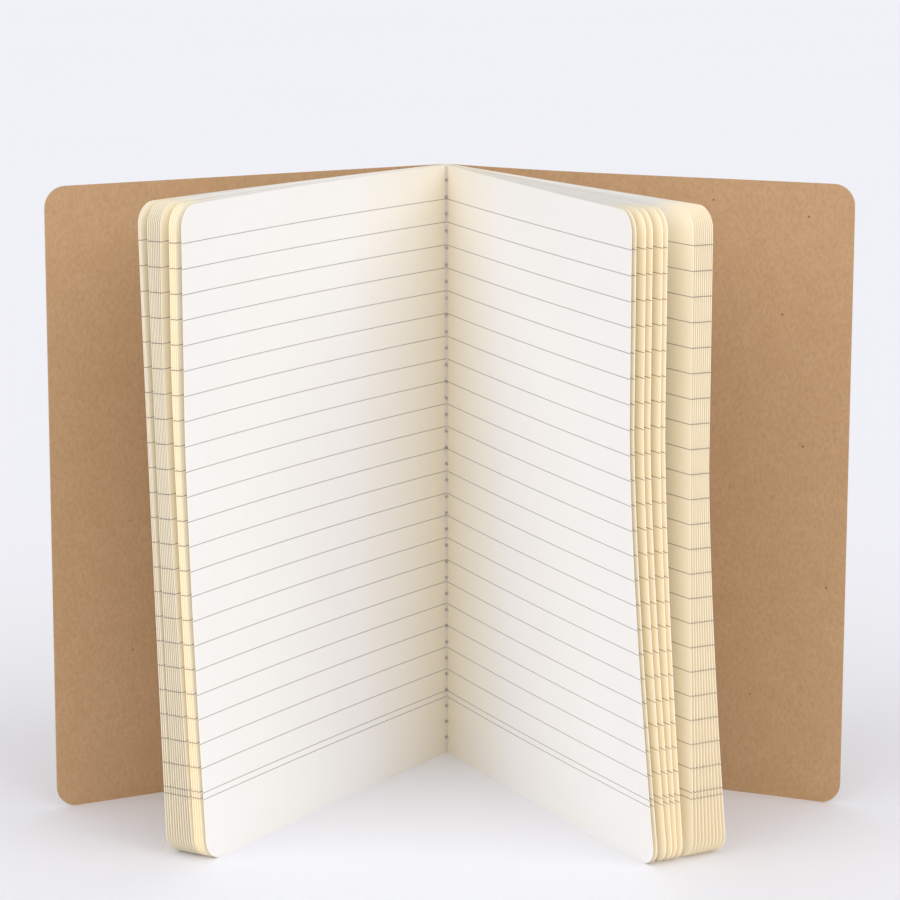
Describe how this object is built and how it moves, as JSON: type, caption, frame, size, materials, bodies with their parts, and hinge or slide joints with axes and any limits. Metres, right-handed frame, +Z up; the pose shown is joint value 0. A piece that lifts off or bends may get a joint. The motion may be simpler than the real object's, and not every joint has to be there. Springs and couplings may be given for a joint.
{
  "type": "pocket notebook",
  "caption": "Thread-sewn pocket notebook with ruled leaves and a plain kraft card cover, standing open with its leaves fanned.",
  "frame": {"origin": "foot of the innermost sheet's fold, which is the line that every leaf and both covers turn about", "axes": "+Z up along the fold, -Y out of the open side towards the reader, +X towards the back cover"},
  "size_m": [0.1858, 0.094, 0.148],
  "materials": {
    "cover_card": "uncoated kraft card",
    "ruled_paper": "uncoated ivory writing paper",
    "sewing_thread": "spun sewing thread"
  },
  "bodies": {
    "spine": {"cover_spine": "cover_card", "needle_thread": "sewing_thread", "bobbin_thread": "sewing_thread", "sheet_fold_01": "ruled_paper", "sheet_fold_02": "ruled_paper", "sheet_fold_03": "ruled_paper", "sheet_fold_04": "ruled_paper", "sheet_fold_05": "ruled_paper", "sheet_fold_06": "ruled_paper", "sheet_fold_07": "ruled_paper", "sheet_fold_08": "ruled_paper", "sheet_fold_09": "ruled_paper", "sheet_fold_10": "ruled_paper", "sheet_fold_11": "ruled_paper", "sheet_fold_12": "ruled_paper", "sheet_fold_13": "ruled_paper", "sheet_fold_14": "ruled_paper", "sheet_fold_15": "ruled_paper", "sheet_fold_16": "ruled_paper"},
    "front_cover": {"front_cover": "cover_card"},
    "left_leaf_02": {"left_leaf_02": "ruled_paper"},
    "left_leaf_03": {"left_leaf_03": "ruled_paper"},
    "left_leaf_04": {"left_leaf_04": "ruled_paper"},
    "left_leaf_05": {"left_leaf_05": "ruled_paper"},
    "left_leaf_06": {"left_leaf_06": "ruled_paper"},
    "left_leaf_07": {"left_leaf_07": "ruled_paper"},
    "left_leaf_08": {"left_leaf_08": "ruled_paper"},
    "left_leaf_09": {"left_leaf_09": "ruled_paper"},
    "left_leaf_10": {"left_leaf_10": "ruled_paper"},
    "left_leaf_11": {"left_leaf_11": "ruled_paper"},
    "left_leaf_12": {"left_leaf_12": "ruled_paper"},
    "left_leaf_13": {"left_leaf_13": "ruled_paper"},
    "left_leaf_14": {"left_leaf_14": "ruled_paper"},
    "left_leaf_15": {"left_leaf_15": "ruled_paper"},
    "left_leaf_01": {"left_leaf_01": "ruled_paper"},
    "left_leaf_16": {"left_leaf_16": "ruled_paper"},
    "back_cover": {"back_cover": "cover_card"},
    "right_leaf_02": {"right_leaf_02": "ruled_paper"},
    "right_leaf_03": {"right_leaf_03": "ruled_paper"},
    "right_leaf_04": {"right_leaf_04": "ruled_paper"},
    "right_leaf_05": {"right_leaf_05": "ruled_paper"},
    "right_leaf_06": {"right_leaf_06": "ruled_paper"},
    "right_leaf_07": {"right_leaf_07": "ruled_paper"},
    "right_leaf_08": {"right_leaf_08": "ruled_paper"},
    "right_leaf_09": {"right_leaf_09": "ruled_paper"},
    "right_leaf_10": {"right_leaf_10": "ruled_paper"},
    "right_leaf_11": {"right_leaf_11": "ruled_paper"},
    "right_leaf_12": {"right_leaf_12": "ruled_paper"},
    "right_leaf_13": {"right_leaf_13": "ruled_paper"},
    "right_leaf_14": {"right_leaf_14": "ruled_paper"},
    "right_leaf_15": {"right_leaf_15": "ruled_paper"},
    "right_leaf_01": {"right_leaf_01": "ruled_paper"},
    "right_leaf_16": {"right_leaf_16": "ruled_paper"}
  },
  "joints": [
    {"name": "front_cover_fold", "type": "hinge", "parent": "spine", "child": "front_cover", "pos_m": [0, 0, 0], "axis": [0, 0, 1], "range_deg": [-61.7, 61.7]},
    {"name": "left_leaf_02_fan", "type": "hinge", "parent": "spine", "child": "left_leaf_02", "pos_m": [0, 0, 0], "axis": [0, 0, 1], "range_deg": [-35.23, 35.23]},
    {"name": "left_leaf_03_fan", "type": "hinge", "parent": "spine", "child": "left_leaf_03", "pos_m": [0, 0, 0], "axis": [0, 0, 1], "range_deg": [-35.29, 35.29]},
    {"name": "left_leaf_04_fan", "type": "hinge", "parent": "spine", "child": "left_leaf_04", "pos_m": [0, 0, 0], "axis": [0, 0, 1], "range_deg": [-35.34, 35.34]},
    {"name": "left_leaf_05_fan", "type": "hinge", "parent": "spine", "child": "left_leaf_05", "pos_m": [0, 0, 0], "axis": [0, 0, 1], "range_deg": [-35.4, 35.4]},
    {"name": "left_leaf_06_fan", "type": "hinge", "parent": "spine", "child": "left_leaf_06", "pos_m": [0, 0, 0], "axis": [0, 0, 1], "range_deg": [-36.74, 36.74]},
    {"name": "left_leaf_07_fan", "type": "hinge", "parent": "spine", "child": "left_leaf_07", "pos_m": [0, 0, 0], "axis": [0, 0, 1], "range_deg": [-36.89, 36.89]},
    {"name": "left_leaf_08_fan", "type": "hinge", "parent": "spine", "child": "left_leaf_08", "pos_m": [0, 0, 0], "axis": [0, 0, 1], "range_deg": [-37.03, 37.03]},
    {"name": "left_leaf_09_fan", "type": "hinge", "parent": "spine", "child": "left_leaf_09", "pos_m": [0, 0, 0], "axis": [0, 0, 1], "range_deg": [-37.18, 37.18]},
    {"name": "left_leaf_10_fan", "type": "hinge", "parent": "spine", "child": "left_leaf_10", "pos_m": [0, 0, 0], "axis": [0, 0, 1], "range_deg": [-37.33, 37.33]},
    {"name": "left_leaf_11_fan", "type": "hinge", "parent": "spine", "child": "left_leaf_11", "pos_m": [0, 0, 0], "axis": [0, 0, 1], "range_deg": [-37.48, 37.48]},
    {"name": "left_leaf_12_fan", "type": "hinge", "parent": "spine", "child": "left_leaf_12", "pos_m": [0, 0, 0], "axis": [0, 0, 1], "range_deg": [-37.62, 37.62]},
    {"name": "left_leaf_13_fan", "type": "hinge", "parent": "spine", "child": "left_leaf_13", "pos_m": [0, 0, 0], "axis": [0, 0, 1], "range_deg": [-37.77, 37.77]},
    {"name": "left_leaf_14_fan", "type": "hinge", "parent": "spine", "child": "left_leaf_14", "pos_m": [0, 0, 0], "axis": [0, 0, 1], "range_deg": [-38.86, 38.86]},
    {"name": "left_leaf_15_fan", "type": "hinge", "parent": "spine", "child": "left_leaf_15", "pos_m": [0, 0, 0], "axis": [0, 0, 1], "range_deg": [-38.92, 38.92]},
    {"name": "left_leaf_01_turn", "type": "hinge", "parent": "left_leaf_02", "child": "left_leaf_01", "pos_m": [0, 0, 0], "axis": [0, 0, -1], "range_deg": [-57, 1.25]},
    {"name": "left_leaf_16_turn", "type": "hinge", "parent": "left_leaf_15", "child": "left_leaf_16", "pos_m": [0, 0, 0], "axis": [0, 0, 1], "range_deg": [-16, 0.06]},
    {"name": "back_cover_fold", "type": "hinge", "parent": "spine", "child": "back_cover", "pos_m": [0, 0, 0], "axis": [0, 0, -1], "range_deg": [-63.8, 63.8]},
    {"name": "right_leaf_02_fan", "type": "hinge", "parent": "spine", "child": "right_leaf_02", "pos_m": [0, 0, 0], "axis": [0, 0, -1], "range_deg": [-25.03, 25.03]},
    {"name": "right_leaf_03_fan", "type": "hinge", "parent": "spine", "child": "right_leaf_03", "pos_m": [0, 0, 0], "axis": [0, 0, -1], "range_deg": [-26.22, 26.22]},
    {"name": "right_leaf_04_fan", "type": "hinge", "parent": "spine", "child": "right_leaf_04", "pos_m": [0, 0, 0], "axis": [0, 0, -1], "range_deg": [-27.01, 27.01]},
    {"name": "right_leaf_05_fan", "type": "hinge", "parent": "spine", "child": "right_leaf_05", "pos_m": [0, 0, 0], "axis": [0, 0, -1], "range_deg": [-28.3, 28.3]},
    {"name": "right_leaf_06_fan", "type": "hinge", "parent": "spine", "child": "right_leaf_06", "pos_m": [0, 0, 0], "axis": [0, 0, -1], "range_deg": [-28.89, 28.89]},
    {"name": "right_leaf_07_fan", "type": "hinge", "parent": "spine", "child": "right_leaf_07", "pos_m": [0, 0, 0], "axis": [0, 0, -1], "range_deg": [-32.78, 32.78]},
    {"name": "right_leaf_08_fan", "type": "hinge", "parent": "spine", "child": "right_leaf_08", "pos_m": [0, 0, 0], "axis": [0, 0, -1], "range_deg": [-32.96, 32.96]},
    {"name": "right_leaf_09_fan", "type": "hinge", "parent": "spine", "child": "right_leaf_09", "pos_m": [0, 0, 0], "axis": [0, 0, -1], "range_deg": [-33.14, 33.14]},
    {"name": "right_leaf_10_fan", "type": "hinge", "parent": "spine", "child": "right_leaf_10", "pos_m": [0, 0, 0], "axis": [0, 0, -1], "range_deg": [-33.32, 33.32]},
    {"name": "right_leaf_11_fan", "type": "hinge", "parent": "spine", "child": "right_leaf_11", "pos_m": [0, 0, 0], "axis": [0, 0, -1], "range_deg": [-33.5, 33.5]},
    {"name": "right_leaf_12_fan", "type": "hinge", "parent": "spine", "child": "right_leaf_12", "pos_m": [0, 0, 0], "axis": [0, 0, -1], "range_deg": [-33.67, 33.67]},
    {"name": "right_leaf_13_fan", "type": "hinge", "parent": "spine", "child": "right_leaf_13", "pos_m": [0, 0, 0], "axis": [0, 0, -1], "range_deg": [-33.85, 33.85]},
    {"name": "right_leaf_14_fan", "type": "hinge", "parent": "spine", "child": "right_leaf_14", "pos_m": [0, 0, 0], "axis": [0, 0, -1], "range_deg": [-34.03, 34.03]},
    {"name": "right_leaf_15_fan", "type": "hinge", "parent": "spine", "child": "right_leaf_15", "pos_m": [0, 0, 0], "axis": [0, 0, -1], "range_deg": [-34.21, 34.21]},
    {"name": "right_leaf_01_turn", "type": "hinge", "parent": "right_leaf_02", "child": "right_leaf_01", "pos_m": [0, 0, 0], "axis": [0, 0, 1], "range_deg": [-57, 0.45]},
    {"name": "right_leaf_16_turn", "type": "hinge", "parent": "right_leaf_15", "child": "right_leaf_16", "pos_m": [0, 0, 0], "axis": [0, 0, -1], "range_deg": [-21, 0.17]}
  ],
  "couplings": [
    {"joint": "left_leaf_02_fan", "follows": "front_cover_fold", "ratio": 0.57018},
    {"joint": "left_leaf_03_fan", "follows": "front_cover_fold", "ratio": 0.5711},
    {"joint": "left_leaf_04_fan", "follows": "front_cover_fold", "ratio": 0.57202},
    {"joint": "left_leaf_05_fan", "follows": "front_cover_fold", "ratio": 0.57293},
    {"joint": "left_leaf_06_fan", "follows": "front_cover_fold", "ratio": 0.59465},
    {"joint": "left_leaf_07_fan", "follows": "front_cover_fold", "ratio": 0.59704},
    {"joint": "left_leaf_08_fan", "follows": "front_cover_fold", "ratio": 0.59942},
    {"joint": "left_leaf_09_fan", "follows": "front_cover_fold", "ratio": 0.60181},
    {"joint": "left_leaf_10_fan", "follows": "front_cover_fold", "ratio": 0.60419},
    {"joint": "left_leaf_11_fan", "follows": "front_cover_fold", "ratio": 0.60658},
    {"joint": "left_leaf_12_fan", "follows": "front_cover_fold", "ratio": 0.60896},
    {"joint": "left_leaf_13_fan", "follows": "front_cover_fold", "ratio": 0.61135},
    {"joint": "left_leaf_14_fan", "follows": "front_cover_fold", "ratio": 0.62901},
    {"joint": "left_leaf_15_fan", "follows": "front_cover_fold", "ratio": 0.63006},
    {"joint": "right_leaf_02_fan", "follows": "back_cover_fold", "ratio": 0.39154},
    {"joint": "right_leaf_03_fan", "follows": "back_cover_fold", "ratio": 0.41019},
    {"joint": "right_leaf_04_fan", "follows": "back_cover_fold", "ratio": 0.42257},
    {"joint": "right_leaf_05_fan", "follows": "back_cover_fold", "ratio": 0.44279},
    {"joint": "right_leaf_06_fan", "follows": "back_cover_fold", "ratio": 0.45204},
    {"joint": "right_leaf_07_fan", "follows": "back_cover_fold", "ratio": 0.51301},
    {"joint": "right_leaf_08_fan", "follows": "back_cover_fold", "ratio": 0.51581},
    {"joint": "right_leaf_09_fan", "follows": "back_cover_fold", "ratio": 0.51862},
    {"joint": "right_leaf_10_fan", "follows": "back_cover_fold", "ratio": 0.52142},
    {"joint": "right_leaf_11_fan", "follows": "back_cover_fold", "ratio": 0.52423},
    {"joint": "right_leaf_12_fan", "follows": "back_cover_fold", "ratio": 0.52703},
    {"joint": "right_leaf_13_fan", "follows": "back_cover_fold", "ratio": 0.52983},
    {"joint": "right_leaf_14_fan", "follows": "back_cover_fold", "ratio": 0.53264},
    {"joint": "right_leaf_15_fan", "follows": "back_cover_fold", "ratio": 0.53544}
  ]
}
